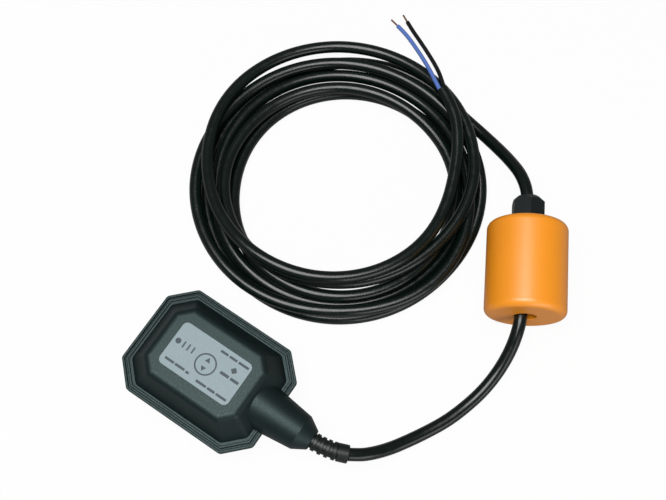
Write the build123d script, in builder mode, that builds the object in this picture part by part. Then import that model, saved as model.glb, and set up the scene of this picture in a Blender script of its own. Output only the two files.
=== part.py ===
from build123d import *
import os
from math import cos, radians, sin, tan

# Cable float switch: an octagonal two-shell float with a ball switch sealed inside it, a length of
# two-core cable laid in a coil, and a counterweight clamped on the cable.
# Millimetres. The origin is the centre of the flat that the float lies on, +X runs along the float
# to its cable outlet and +Z is up.

os.makedirs("parts", exist_ok=True)

# Float shells
float_length = 103.0
float_width = 79.0
corner_leg = 15.0
corner_round = 3.5
inner_corner_round = 0.8
seam_z = 21.0
upper_height = 20.5
shell_wall = 2.6
rim_width = 5.3
wall_base_leg = 12.5
plateau_length = 70.0
plateau_width = 50.5
plateau_leg = 9.0
plateau_edge_radius = 5.5
wall_edge_radius = 5.0
inner_edge_radius = 3.0

# Welded rim between the shells
rim_thickness = 2.4
lip_width = 1.8
lip_height = 1.8
lip_groove = 1.0
ridge_width = 1.8
ridge_height = 2.1
root_groove_depth = 1.1
rim_round = 0.6

# Cable boss, half of it on each shell
boss_root_inset = 17.0
boss_root_radius = 16.6
boss_shoulder_radius = 12.0
boss_end_radius = 6.9
boss_taper_length = 20.0
boss_shoulder_length = 8.5
boss_shoulder_round = 4.0
boss_lip_clearance = 0.3

# Cable and its seat in the boss
cable_diameter = 8.4
cable_clearance = 0.1
grommet_inset = 3.0
grommet_length = 12.0
grommet_diameter = 16.0
grommet_fit = 0.1
relief_flange_diameter = 17.0
relief_flange_length = 4.6
relief_web = 3.0
relief_neck_diameter = 10.8
relief_fit = 0.15

# Ribbed strain relief
relief_straight = 5.0
relief_bends = [(10.5, 2.2, -0.5), (7.9, 3.3, -1.1)]
relief_core_diameter = 9.8
rib_diameter = 11.8
rib_count = 4
rib_pitch = 4.3
rib_width = 2.5
rib_start = 1.3
collar_length = 7.2
rib_round = 0.4

# Label plate
label_length = 52.6
label_width = 30.8
label_corner = 3.6
label_thickness = 0.6
label_recess = 0.4
label_gap = 0.15

# Switch capsule
capsule_rear_x = -34.5
capsule_front_x = 16.0
capsule_width = 33.0
capsule_bottom_z = 8.0
capsule_joint_z = 20.0
capsule_top_z = 32.5
capsule_wall = 2.0
capsule_corner = 3.0
tongue_wall = 0.9
tongue_depth = 1.5
tongue_fit = 0.1
ear_spacing = 34.0
ear_first_x = -26.0
ear_width = 7.0
ear_reach = 2.6
ear_thickness = 2.5
ear_overhang = 3.2
screw_diameter = 2.5
screw_length = 7.0
screw_head_diameter = 4.6
screw_head_height = 1.6
screw_fit = 0.05

# Ball and tilting rocker
ball_diameter = 12.0
ball_travel = 14.0
ball_clearance = 0.2
ball_side_clearance = 0.3
rocker_tilt = 3.5
rocker_wall = 1.2
rocker_channel_depth = 7.6
pivot_x = -15.0
pivot_z = 13.0
channel_y = -4.8
hub_diameter = 4.8
channel_rise = 2.2
rocker_pin_diameter = 2.5
pivot_clearance = 0.05
pin_seat = 0.02
cheek_gap = 0.5
cheek_thickness = 1.6
cheek_length = 6.0
tab_arm = 8.0
tab_length = 4.6
tab_thickness = 1.3
tab_gap = 0.15

# Microswitch
switch_rear_x = -14.0
switch_length = 20.0
switch_gap = 2.7
switch_width = 7.2
switch_height = 10.2
switch_wall = 1.0
switch_cover_thickness = 1.0
plunger_diameter = 2.8
plunger_clearance = 0.08
plunger_stand = 1.3
plunger_round = 0.9
plunger_collar_diameter = 4.0
plunger_collar_height = 1.0
plunger_collar_gap = 0.1
plunger_foot_diameter = 2.0
plunger_foot_length = 1.5
leaf_drop = 1.1
leaf_thickness = 0.3
leaf_width = 3.6
leaf_length = 14.5
terminal_thickness = 0.5
terminal_width = 1.8
terminal_step = 3.6
terminal_reach = 5.5
terminal_root = 4.0
contact_diameter = 1.4
contact_gap = 0.6

# Cable clamp and the cores inside the float
clamp_x = 33.5
clamp_length = 5.0
clamp_width = 25.0
clamp_height = 6.0
clamp_split = 0.4
clamp_screw_spacing = 17.5
clamp_screw_diameter = 3.0
clamp_screw_length = 13.0
jacket_end_x = 29.5
core_diameter = 3.0
core_spacing = 3.8
core_hole_clearance = 0.1
conductor_diameter = 1.4
wire_gap = 0.05
wire_strip = 4.0

# Counterweight
weight_diameter = 53.5
weight_length = 63.0
weight_edge_round = 4.5
weight_mouth_x = 149.8
weight_mouth_y = 141.7
weight_heading = 119.0
weight_wall = 5.0
weight_floor = 5.0
weight_bore = 14.5
weight_sleeve_wall = 1.6
ballast_length = 43.0
ballast_fit = 0.15
cap_recess = 0.4
cap_edge_round = 0.5

# Gland on the counterweight
spigot_diameter = 18.0
spigot_length = 14.0
spigot_slots = 6
spigot_slot_width = 1.4
spigot_slot_depth = 6.0
seal_diameter = 13.4
seal_length = 17.0
seal_inset = 4.0
seal_fit = 0.1
nut_across_flats = 20.0
nut_length = 19.6
nut_gap = 0.3
nut_dome_height = 4.0
nut_dome_radius = 7.6
nut_thread_clearance = 0.15
nut_exit_clearance = 0.4

# Loose cable: the coil and the bared end
coil_centre_x = -6.5
coil_centre_y = 157.9
coil_outer_radius = 103.0
coil_inner_radius = 63.5
coil_height = 22.0
coil_round = 9.0
bend_share = 0.45
bare_length = 8.0

# Worked out from the sizes above
half_length = float_length / 2
wall_base_length = float_length - 2 * rim_width
wall_base_width = float_width - 2 * rim_width
cable_radius = cable_diameter / 2
cable_hole_radius = cable_radius + cable_clearance
top_z = seam_z + upper_height
boss_root_x = half_length - boss_root_inset
boss_shoulder_x = half_length + boss_taper_length
boss_end_x = boss_shoulder_x + boss_shoulder_length
grommet_x = wall_base_length / 2 + grommet_inset
relief_flange_x = grommet_x + grommet_length + relief_web
bend_x = boss_end_x + relief_straight
bend_start = Vector(bend_x, 0, seam_z)
bend_middle = bend_start + Vector(*relief_bends[0])
relief_end = bend_middle + Vector(*relief_bends[1])
lead_start = relief_end + Vector(*relief_bends[1])


def octagon_block(low_z, low_size, high_z, high_size, slant_radius):
    """A solid between two octagons, each given as length, width and corner leg."""
    with BuildPart() as block:
        for height, size in ((low_z, low_size), (high_z, high_size)):
            length, width, leg = size
            with BuildSketch(Plane.XY.offset(height)) as outline:
                Rectangle(length, width)
                chamfer(outline.vertices(), leg)
        loft(ruled=True)
        slanted = block.edges().filter_by(lambda edge: abs(edge.tangent_at(0.5).Z) > 0.2)
        fillet(slanted, slant_radius)
    return block.part


def shell_solid(flat_z, inset, edge_radius, slant_radius):
    """One half of the float from the seam to its flat, inset by a wall."""
    base_size = (wall_base_length - 2 * inset, wall_base_width - 2 * inset, wall_base_leg)
    flat_size = (plateau_length - 1.4 * inset, plateau_width - 1.4 * inset, plateau_leg)
    if flat_z > seam_z:
        solid = octagon_block(seam_z, base_size, flat_z, flat_size, slant_radius)
    else:
        solid = octagon_block(flat_z, flat_size, seam_z, base_size, slant_radius)
    with BuildPart() as half:
        add(solid)
        rims = half.faces().filter_by(Axis.Z).sort_by(lambda face: abs(face.center().Z - flat_z))
        fillet(rims[0].edges(), edge_radius)
    return half.part


def rim_octagon(inset):
    """The float's outline with its corners rounded, drawn in by a distance."""
    with BuildSketch() as octagon:
        Rectangle(float_length - 2 * inset, float_width - 2 * inset)
        chamfer(octagon.vertices(), corner_leg - inset * (2 - 2**0.5))
        fillet(octagon.vertices(), max(corner_round - inset, inner_corner_round))
    return octagon.sketch


def rim_ring(base_z, height, outer_inset, width):
    """An octagonal ring of the welded rim, by its distance in from the float's outline."""
    outer_octagon = rim_octagon(outer_inset)
    inner_octagon = rim_octagon(outer_inset + width)
    with BuildPart() as ring:
        with BuildSketch(Plane.XY.offset(base_z)):
            add(outer_octagon)
            add(inner_octagon, mode=Mode.SUBTRACT)
        extrude(amount=height)
    return ring.part


def boss_radius_at(x):
    """The radius of the boss's taper at a distance along the float."""
    taper = (boss_root_radius - boss_shoulder_radius) / (boss_shoulder_x - boss_root_x)
    return boss_root_radius - taper * (x - boss_root_x)


def boss_half(keep):
    """The boss of one shell: a tapered barrel with a rounded shoulder, cut at the seam."""
    with BuildPart() as boss:
        with BuildSketch(Plane.XZ) as profile:
            with BuildLine():
                Polyline(
                    (boss_root_x, seam_z),
                    (boss_root_x, seam_z + boss_root_radius),
                    (boss_shoulder_x, seam_z + boss_shoulder_radius),
                    (boss_end_x, seam_z + boss_end_radius),
                    (boss_end_x, seam_z),
                    close=True,
                )
            make_face()
            shoulder = profile.vertices().sort_by_distance(
                (boss_shoulder_x, 0, seam_z + boss_shoulder_radius)
            )[0]
            fillet(shoulder, boss_shoulder_round)
        revolve(axis=Axis((0, 0, seam_z), (1, 0, 0)))
        split(bisect_by=Plane.XY.offset(seam_z), keep=keep)
    return boss.part


def boss_bore():
    """The stepped bore through the boss: cable hole, grommet chamber and relief seat."""
    relief_seat_x = relief_flange_x + relief_flange_length + relief_fit
    grommet_end_x = grommet_x + grommet_length
    grommet_radius = grommet_diameter / 2 + grommet_fit
    flange_radius = relief_flange_diameter / 2 + relief_fit
    neck_radius = relief_neck_diameter / 2 + relief_fit
    with BuildPart() as bore:
        with BuildSketch(Plane.XZ):
            with BuildLine():
                Polyline(
                    (boss_root_x, seam_z),
                    (boss_root_x, seam_z + cable_hole_radius),
                    (grommet_x, seam_z + cable_hole_radius),
                    (grommet_x, seam_z + grommet_radius),
                    (grommet_end_x, seam_z + grommet_radius),
                    (grommet_end_x, seam_z + cable_hole_radius),
                    (relief_flange_x, seam_z + cable_hole_radius),
                    (relief_flange_x, seam_z + flange_radius),
                    (relief_seat_x, seam_z + flange_radius),
                    (relief_seat_x, seam_z + neck_radius),
                    (boss_end_x, seam_z + neck_radius),
                    (boss_end_x, seam_z),
                    close=True,
                )
            make_face()
        revolve(axis=Axis((0, 0, seam_z), (1, 0, 0)))
    return bore.part


def corner_radii(points):
    """The bend at each inner point of a route, as large as its two runs allow."""
    radii = []
    for before, corner, after in zip(points, points[1:], points[2:]):
        incoming = Vector(corner) - Vector(before)
        outgoing = Vector(after) - Vector(corner)
        shorter = min(incoming.length, outgoing.length)
        radii.append(bend_share * shorter / tan(radians(incoming.get_angle(outgoing)) / 2))
    return radii


def tube(points, radii, radius):
    """A round tube along straight runs joined by tangent arcs."""
    with BuildLine() as route:
        FilletPolyline(*points, radius=radii)
    with BuildPart() as run:
        with BuildSketch(Plane(origin=points[0], z_dir=route.line % 0)):
            Circle(radius)
        sweep(path=route.line)
    return run.part


def finish(part, label):
    """Names a finished piece and writes it."""
    part.label = label
    export_step(part, f"parts/{label}.step")


# Positions shared by the capsule, the shell's posts and their screws
capsule_length = capsule_front_x - capsule_rear_x
capsule_x = (capsule_front_x + capsule_rear_x) / 2
ear_edge_y = capsule_width / 2 + ear_reach + ear_overhang
ear_y = capsule_width / 2 + ear_reach
ear_places = [
    (ear_first_x + step * ear_spacing, side * ear_y) for step in (0, 1) for side in (-1, 1)
]
clamp_screw_places = [(clamp_x, side * clamp_screw_spacing / 2) for side in (-1, 1)]
saddle_top_z = seam_z - clamp_split / 2
post_bottom_z = shell_wall / 2
relief_route = [Vector(relief_flange_x, 0, seam_z), bend_start, bend_middle, relief_end]
entry_route = [Vector(jacket_end_x, 0, seam_z)] + relief_route[1:]
relief_radii = corner_radii(relief_route)

# Lower shell
lower_outer = shell_solid(0, 0, plateau_edge_radius, wall_edge_radius)
lower_inner = shell_solid(shell_wall, shell_wall, inner_edge_radius, inner_edge_radius)
lower_boss = boss_half(Keep.BOTTOM)
rim_outline = rim_octagon(0)
lip = rim_ring(seam_z, lip_height, 0, lip_width)
with BuildPart() as lower_shell:
    add(lower_outer)
    with BuildSketch(Plane.XY.offset(seam_z - rim_thickness)):
        add(rim_outline)
    extrude(amount=rim_thickness)
    add(lip)
    top_edges = lower_shell.faces().filter_by(Axis.Z).sort_by(Axis.Z)[-1].edges()
    fillet(top_edges, rim_round)
    add(lower_boss)
    add(lower_inner, mode=Mode.SUBTRACT)
    with BuildSketch(Plane.XY.offset(seam_z)):
        with Locations((half_length, 0)):
            Rectangle(4 * lip_width, 2 * (boss_radius_at(half_length - lip_width) + boss_lip_clearance))
    extrude(amount=lip_height, mode=Mode.SUBTRACT)
    # Posts under the capsule's ears
    with BuildSketch(Plane.XY.offset(post_bottom_z)):
        with Locations(*ear_places):
            Circle(ear_overhang)
    extrude(amount=capsule_bottom_z - post_bottom_z)
    with BuildSketch(Plane.XY.offset(capsule_bottom_z)):
        with Locations(*ear_places):
            Circle(screw_diameter / 2 + screw_fit)
    extrude(amount=ear_thickness - screw_length, mode=Mode.SUBTRACT)
    # Saddle under the cable
    with BuildSketch(Plane.XY.offset(post_bottom_z)):
        with Locations((clamp_x, 0)):
            Rectangle(clamp_length, clamp_width)
    extrude(amount=saddle_top_z - post_bottom_z)
    with BuildSketch(Plane.XY.offset(saddle_top_z)):
        with Locations(*clamp_screw_places):
            Circle(clamp_screw_diameter / 2 + screw_fit)
    extrude(amount=clamp_height - clamp_screw_length, mode=Mode.SUBTRACT)
    with BuildSketch(Plane.YZ.offset(clamp_x - clamp_length)):
        with Locations((0, seam_z)):
            Circle(cable_hole_radius)
    extrude(amount=2 * clamp_length, mode=Mode.SUBTRACT)
    add(boss_bore(), mode=Mode.SUBTRACT)
finish(lower_shell.part, "lower_shell")

# Upper shell
upper_outer = shell_solid(top_z, 0, plateau_edge_radius, wall_edge_radius)
upper_inner = shell_solid(top_z - shell_wall, shell_wall, inner_edge_radius, inner_edge_radius)
upper_boss = boss_half(Keep.TOP)
ridge_inset = lip_width + lip_groove
web_outline = rim_octagon(ridge_inset)
ridge = rim_ring(seam_z, ridge_height, ridge_inset, ridge_width)
with BuildPart() as upper_shell:
    with BuildSketch(Plane.XY.offset(seam_z)):
        add(web_outline)
    extrude(amount=ridge_height - root_groove_depth)
    add(ridge)
    ridge_edges = upper_shell.faces().filter_by(Axis.Z).sort_by(Axis.Z)[-1].edges()
    fillet(ridge_edges, rim_round)
    add(upper_outer)
    add(upper_boss)
    add(upper_inner, mode=Mode.SUBTRACT)
    with BuildSketch(Plane.XY.offset(top_z - label_recess)):
        RectangleRounded(
            label_length + 2 * label_gap, label_width + 2 * label_gap, label_corner + label_gap
        )
    extrude(amount=label_recess, mode=Mode.SUBTRACT)
    add(boss_bore(), mode=Mode.SUBTRACT)
finish(upper_shell.part, "upper_shell")

# Label plate
with BuildPart() as label_plate:
    with BuildSketch(Plane.XY.offset(top_z - label_recess)):
        RectangleRounded(label_length, label_width, label_corner)
    extrude(amount=label_thickness)
finish(label_plate.part, "label_plate")

# Rubber grommet that seals the cable in the boss
with BuildPart() as cable_grommet:
    with BuildSketch(Plane.YZ.offset(grommet_x + grommet_fit)):
        with Locations((0, seam_z)):
            Circle(grommet_diameter / 2)
            Circle(cable_hole_radius, mode=Mode.SUBTRACT)
    extrude(amount=grommet_length - 2 * grommet_fit)
finish(cable_grommet.part, "cable_grommet")

# Strain relief: a flange held in the boss, a neck, ribs along the bend and an end collar
with BuildLine() as relief_line:
    FilletPolyline(*relief_route, radius=relief_radii)
relief_path = relief_line.wire()
relief_bore = tube(relief_route, relief_radii, cable_hole_radius)
neck_end = boss_end_x - relief_flange_x
rib_places = [neck_end + rib_start + index * rib_pitch for index in range(rib_count)]
collar_start = relief_path.length - collar_length
relief_core = tube(relief_route, relief_radii, relief_core_diameter / 2)
with BuildPart() as strain_relief:
    add(relief_core)
    with BuildSketch(Plane.YZ.offset(relief_flange_x + relief_fit)):
        with Locations((0, seam_z)):
            Circle(relief_flange_diameter / 2)
    extrude(amount=relief_flange_length - relief_fit)
    with BuildSketch(Plane.YZ.offset(relief_flange_x + relief_flange_length)):
        with Locations((0, seam_z)):
            Circle(relief_neck_diameter / 2)
    extrude(amount=neck_end - relief_flange_length)
    for start, width in [(place, rib_width) for place in rib_places] + [(collar_start, collar_length)]:
        middle = start + width / 2
        where = Plane(
            origin=relief_path.position_at(middle / relief_path.length),
            z_dir=relief_path.tangent_at(middle / relief_path.length),
        )
        with BuildPart(where, mode=Mode.PRIVATE) as rib:
            Cylinder(rib_diameter / 2, width)
            fillet(rib.edges(), rib_round)
        add(rib.part)
    add(relief_bore, mode=Mode.SUBTRACT)
finish(strain_relief.part, "strain_relief")

# Cable inside the boss and the strain relief
cable_entry = tube(entry_route, relief_radii, cable_radius)
finish(cable_entry, "cable_entry")

# Clamp bar over the cable and its two screws
bar_bottom_z = seam_z + clamp_split / 2
bar_top_z = bar_bottom_z + clamp_height
with BuildPart() as clamp_bar:
    with BuildSketch(Plane.XY.offset(bar_bottom_z)):
        with Locations((clamp_x, 0)):
            RectangleRounded(clamp_length, clamp_width, clamp_length / 4)
        with Locations(*clamp_screw_places):
            Circle(clamp_screw_diameter / 2 + screw_fit, mode=Mode.SUBTRACT)
    extrude(amount=clamp_height)
    with BuildSketch(Plane.YZ.offset(clamp_x - clamp_length)):
        with Locations((0, seam_z)):
            Circle(cable_hole_radius)
    extrude(amount=2 * clamp_length, mode=Mode.SUBTRACT)
finish(clamp_bar.part, "clamp_bar")


def screws(places, diameter, length, head_z):
    """Pan-head screws standing on the same level, as one group."""
    head_radius = diameter * screw_head_diameter / screw_diameter / 2
    with BuildPart() as group:
        with BuildSketch(Plane.XY.offset(head_z)):
            with Locations(*places):
                Circle(head_radius)
        extrude(amount=screw_head_height)
        fillet(group.edges().group_by(Axis.Z)[-1], screw_head_height / 2)
        with BuildSketch(Plane.XY.offset(head_z)):
            with Locations(*places):
                Circle(diameter / 2)
        extrude(amount=-length)
        with BuildSketch(Plane.XY.offset(head_z + screw_head_height)):
            with Locations(*places):
                Rectangle(diameter * 0.9, diameter / 4)
        extrude(amount=-screw_head_height / 2, mode=Mode.SUBTRACT)
    return group.part


clamp_screws = screws(clamp_screw_places, clamp_screw_diameter, clamp_screw_length, bar_top_z)
finish(clamp_screws, "clamp_screws")

# Capsule base: tub, ears, and two cheeks that hold the rocker's pin
inner_length = capsule_length - 2 * capsule_wall
inner_width = capsule_width - 2 * capsule_wall
floor_z = capsule_bottom_z + capsule_wall
channel_inner = ball_diameter + 2 * ball_side_clearance
rocker_width = channel_inner + 2 * rocker_wall
cheek_places = [
    channel_y + side * (rocker_width / 2 + cheek_gap + cheek_thickness / 2) for side in (-1, 1)
]
switch_y = channel_y + rocker_width / 2 + switch_gap
switch_middle_y = switch_y + switch_cover_thickness + (switch_width - switch_cover_thickness - switch_wall) / 2
switch_top_z = floor_z + switch_height
collar_top_z = switch_top_z - switch_wall - plunger_collar_gap
collar_bottom_z = collar_top_z - plunger_collar_height
leaf_top_z = collar_bottom_z - plunger_foot_length - leaf_drop
common_z = leaf_top_z - leaf_thickness
contact_z = common_z - terminal_step
wire_levels = [level + conductor_diameter / 2 + wire_gap for level in (common_z, contact_z)]
with BuildPart() as capsule_base:
    with BuildSketch(Plane.XY.offset(capsule_bottom_z)):
        with Locations((capsule_x, 0)):
            RectangleRounded(capsule_length, capsule_width, capsule_corner)
    extrude(amount=capsule_joint_z - capsule_bottom_z)
    with BuildSketch(Plane.XY.offset(capsule_bottom_z)):
        for x, y in ear_places:
            with Locations((x, y / 2)):
                Rectangle(ear_width, abs(y))
            with Locations((x, y)):
                Circle(ear_width / 2)
    extrude(amount=ear_thickness)
    with BuildSketch(Plane.XY.offset(floor_z)):
        with Locations((capsule_x, 0)):
            RectangleRounded(inner_length, inner_width, capsule_corner - capsule_wall / 2)
    extrude(amount=capsule_joint_z - floor_z, mode=Mode.SUBTRACT)
    with BuildSketch(Plane.XY.offset(capsule_joint_z)):
        with Locations((capsule_x, 0)):
            RectangleRounded(
                inner_length + 2 * tongue_wall, inner_width + 2 * tongue_wall, capsule_corner - tongue_wall
            )
    extrude(amount=-tongue_depth, mode=Mode.SUBTRACT)
    with BuildSketch(Plane.XY.offset(capsule_bottom_z)):
        with Locations(*ear_places):
            Circle(screw_diameter / 2 + screw_fit)
    extrude(amount=ear_thickness, mode=Mode.SUBTRACT)
    for y in cheek_places:
        with BuildSketch(Plane.XZ.offset(-y - cheek_thickness / 2)):
            with Locations((pivot_x, pivot_z)):
                Circle(cheek_length / 2)
            with Locations((pivot_x, (pivot_z + floor_z) / 2 - capsule_wall / 4)):
                Rectangle(cheek_length, pivot_z - floor_z + capsule_wall / 2)
            with Locations((pivot_x, pivot_z)):
                Circle(rocker_pin_diameter / 2 + pin_seat, mode=Mode.SUBTRACT)
        extrude(amount=cheek_thickness)
    for level in wire_levels:
        with BuildSketch(Plane.YZ.offset(capsule_front_x - 2 * capsule_wall)):
            with Locations((switch_middle_y, level)):
                Circle(core_diameter / 2 + core_hole_clearance)
        extrude(amount=3 * capsule_wall, mode=Mode.SUBTRACT)
finish(capsule_base.part, "capsule_base")

# Capsule cover, with a tongue that drops into the base
with BuildPart() as capsule_cover:
    with BuildSketch(Plane.XY.offset(capsule_joint_z)):
        with Locations((capsule_x, 0)):
            RectangleRounded(capsule_length, capsule_width, capsule_corner)
    extrude(amount=capsule_top_z - capsule_joint_z)
    fillet(capsule_cover.faces().sort_by(Axis.Z)[-1].edges(), capsule_wall / 2)
    with BuildSketch(Plane.XY.offset(capsule_joint_z)):
        with Locations((capsule_x, 0)):
            RectangleRounded(
                inner_length + 2 * (tongue_wall - tongue_fit),
                inner_width + 2 * (tongue_wall - tongue_fit),
                capsule_corner - tongue_wall,
            )
    extrude(amount=tongue_fit - tongue_depth)
    with BuildSketch(Plane.XY.offset(capsule_joint_z - tongue_depth)):
        with Locations((capsule_x, 0)):
            RectangleRounded(inner_length, inner_width, capsule_corner - capsule_wall / 2)
    extrude(amount=capsule_top_z - capsule_wall - capsule_joint_z + tongue_depth, mode=Mode.SUBTRACT)
finish(capsule_cover.part, "capsule_cover")

capsule_screws = screws(
    ear_places, screw_diameter, screw_length - screw_fit, capsule_bottom_z + ear_thickness
)
finish(capsule_screws, "capsule_screws")

# Rocker, at rest with its rear end down. Its own plane has the pivot as origin
tilt = radians(rocker_tilt)
rocker_plane = Plane(
    origin=(pivot_x, channel_y, pivot_z), x_dir=(cos(tilt), 0, sin(tilt)), z_dir=(-sin(tilt), 0, cos(tilt))
)
channel_length = ball_diameter + ball_travel + 2 * ball_clearance
channel_floor = channel_rise + rocker_wall
plunger_top_z = switch_top_z + plunger_stand
tab_bottom = (plunger_top_z + tab_gap - pivot_z - tab_arm * sin(tilt)) / cos(tilt)
tab_side = switch_middle_y - channel_y + plunger_diameter / 2
low = (Align.CENTER, Align.CENTER, Align.MIN)
with BuildPart(rocker_plane) as ball_rocker:
    with Locations((0, 0, channel_rise)):
        Box(channel_length + 2 * rocker_wall, rocker_width, rocker_channel_depth + rocker_wall, align=low)
    with Locations((0, 0, channel_floor)):
        Box(channel_length, channel_inner, rocker_channel_depth, align=low, mode=Mode.SUBTRACT)
    Cylinder(hub_diameter / 2, rocker_width, rotation=(90, 0, 0))
    Box(hub_diameter, rocker_width, channel_rise, align=low)
    with Locations((tab_arm, 0, tab_bottom)):
        Box(tab_length, tab_side, tab_thickness, align=(Align.CENTER, Align.MIN, Align.MIN))
    with Locations((0, 0, channel_floor)):
        Box(channel_length, channel_inner, rocker_channel_depth, align=low, mode=Mode.SUBTRACT)
    Cylinder(
        rocker_pin_diameter / 2 + pivot_clearance, rocker_width, rotation=(90, 0, 0), mode=Mode.SUBTRACT
    )
finish(ball_rocker.part, "ball_rocker")

with BuildPart(rocker_plane) as steel_ball:
    with Locations((-ball_travel / 2, 0, channel_floor + ball_clearance + ball_diameter / 2)):
        Sphere(ball_diameter / 2)
finish(steel_ball.part, "steel_ball")

pin_length = rocker_width + 2 * (cheek_gap + cheek_thickness)
with BuildPart(Plane((pivot_x, channel_y, pivot_z))) as rocker_pin:
    Cylinder(rocker_pin_diameter / 2, pin_length, rotation=(90, 0, 0))
    chamfer(rocker_pin.edges(), rocker_pin_diameter / 12)
finish(rocker_pin.part, "rocker_pin")

# Microswitch: case, cover plate, plunger, leaf and two terminals
switch_front_x = switch_rear_x + switch_length
switch_x = (switch_rear_x + switch_front_x) / 2
case_y = switch_y + switch_cover_thickness
case_width = switch_width - switch_cover_thickness
plunger_x = pivot_x + tab_arm
with BuildPart() as switch_case:
    with BuildSketch(Plane.XY.offset(floor_z)):
        with Locations((switch_x, case_y + case_width / 2)):
            Rectangle(switch_length, case_width)
    extrude(amount=switch_height)
    with BuildSketch(Plane.XY.offset(floor_z + switch_wall)):
        with Locations((switch_x, case_y + (case_width - switch_wall) / 2)):
            Rectangle(switch_length - 2 * switch_wall, case_width - switch_wall)
    extrude(amount=switch_height - 2 * switch_wall, mode=Mode.SUBTRACT)
    with BuildSketch(Plane.XY.offset(switch_top_z)):
        with Locations((plunger_x, switch_middle_y)):
            Circle(plunger_diameter / 2 + plunger_clearance)
    extrude(amount=-switch_wall, mode=Mode.SUBTRACT)
    for level in (common_z, contact_z):
        with BuildSketch(Plane.YZ.offset(switch_front_x - switch_wall)):
            with Locations((switch_middle_y, level - terminal_thickness / 2)):
                Rectangle(terminal_width + 2 * pin_seat, terminal_thickness + 2 * pin_seat)
        extrude(amount=switch_wall, mode=Mode.SUBTRACT)
finish(switch_case.part, "switch_case")

with BuildPart() as switch_cover:
    with BuildSketch(Plane.XY.offset(floor_z)):
        with Locations((switch_x, switch_y + switch_cover_thickness / 2)):
            Rectangle(switch_length, switch_cover_thickness)
    extrude(amount=switch_height)
finish(switch_cover.part, "switch_cover")

with BuildPart() as switch_plunger:
    with BuildSketch(Plane.XY.offset(collar_bottom_z)):
        with Locations((plunger_x, switch_middle_y)):
            Circle(plunger_diameter / 2)
    extrude(amount=plunger_top_z - collar_bottom_z)
    fillet(switch_plunger.edges().group_by(Axis.Z)[-1], plunger_round)
    with BuildSketch(Plane.XY.offset(collar_bottom_z)):
        with Locations((plunger_x, switch_middle_y)):
            Circle(plunger_collar_diameter / 2)
    extrude(amount=plunger_collar_height)
    with BuildSketch(Plane.XY.offset(collar_bottom_z)):
        with Locations((plunger_x, switch_middle_y)):
            Circle(plunger_foot_diameter / 2)
    extrude(amount=-plunger_foot_length)
finish(switch_plunger.part, "switch_plunger")

terminal_inner_x = switch_front_x - terminal_root
with BuildPart() as contact_leaf:
    with BuildSketch(Plane.XY.offset(leaf_top_z)):
        with Locations((terminal_inner_x + switch_wall, switch_middle_y)):
            Rectangle(leaf_length, leaf_width, align=(Align.MAX, Align.CENTER))
    extrude(amount=-leaf_thickness)
finish(contact_leaf.part, "contact_leaf")

with BuildPart() as common_terminal:
    with BuildSketch(Plane.XY.offset(common_z)):
        with Locations((terminal_inner_x, switch_middle_y)):
            Rectangle(terminal_root + terminal_reach, terminal_width, align=(Align.MIN, Align.CENTER))
    extrude(amount=-terminal_thickness)
finish(common_terminal.part, "common_terminal")

contact_x = terminal_inner_x + switch_wall - leaf_length + contact_diameter
with BuildPart() as contact_terminal:
    with BuildSketch(Plane.XY.offset(contact_z)):
        with Locations((contact_x - contact_diameter, switch_middle_y)):
            Rectangle(
                switch_front_x + terminal_reach - contact_x + contact_diameter,
                terminal_width,
                align=(Align.MIN, Align.CENTER),
            )
    extrude(amount=-terminal_thickness)
    with BuildSketch(Plane.XY.offset(contact_z)):
        with Locations((contact_x, switch_middle_y)):
            Circle(contact_diameter / 2)
    extrude(amount=common_z - contact_gap - contact_z)
finish(contact_terminal.part, "contact_terminal")

# Cores from the cable's inner end to the terminals
strip_x = switch_front_x + terminal_reach + wire_strip / 4
for label, rise, level in zip(
    ("inner_core_blue", "inner_core_black"), (core_spacing / 2, -core_spacing / 2), wire_levels
):
    core_route = [
        (jacket_end_x, 0, seam_z + rise),
        (jacket_end_x - core_diameter, 0, seam_z + rise),
        (capsule_front_x + core_diameter, switch_middle_y, level),
        (strip_x, switch_middle_y, level),
    ]
    insulation = tube(core_route, corner_radii(core_route), core_diameter / 2)
    with BuildPart() as inner_core:
        add(insulation)
        with BuildSketch(Plane.YZ.offset(strip_x)):
            with Locations((switch_middle_y, level)):
                Circle(conductor_diameter / 2)
        extrude(amount=-wire_strip)
    finish(inner_core.part, label)

# Counterweight, built along its own axis from the mouth to the gland
weight_radius = weight_diameter / 2
heading = radians(weight_heading)
weight_mouth = (weight_mouth_x, weight_mouth_y, weight_radius)
weight_direction = (cos(heading), sin(heading), 0)
weight_plane = Plane(origin=weight_mouth, x_dir=(-sin(heading), cos(heading), 0), z_dir=weight_direction)
cavity_radius = weight_radius - weight_wall
sleeve_radius = weight_bore / 2 + weight_sleeve_wall
ballast_start = weight_floor + ballast_fit
cap_start = ballast_start + ballast_length + ballast_fit
cap_face = weight_length - cap_recess
with BuildPart() as weight_shell:
    with BuildSketch(weight_plane):
        Circle(weight_radius)
    extrude(amount=weight_length)
    end_edges = weight_shell.edges().filter_by(GeomType.CIRCLE)
    fillet(end_edges, weight_edge_round)
    with BuildSketch(weight_plane.offset(weight_floor)):
        Circle(cavity_radius)
    extrude(amount=weight_length, mode=Mode.SUBTRACT)
    with BuildSketch(weight_plane.offset(weight_floor / 2)):
        Circle(sleeve_radius)
    extrude(amount=cap_start - weight_floor / 2 - ballast_fit)
    with BuildSketch(weight_plane):
        Circle(weight_bore / 2)
    extrude(amount=weight_length, mode=Mode.SUBTRACT)
    mouth_edge = weight_shell.edges().filter_by(GeomType.CIRCLE).sort_by_distance(weight_mouth)[0]
    fillet(mouth_edge, cap_edge_round)
finish(weight_shell.part, "weight_shell")

with BuildPart() as ballast_core:
    with BuildSketch(weight_plane.offset(ballast_start)):
        Circle(cavity_radius - ballast_fit)
        Circle(sleeve_radius + ballast_fit, mode=Mode.SUBTRACT)
    extrude(amount=ballast_length)
finish(ballast_core.part, "ballast_core")

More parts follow.
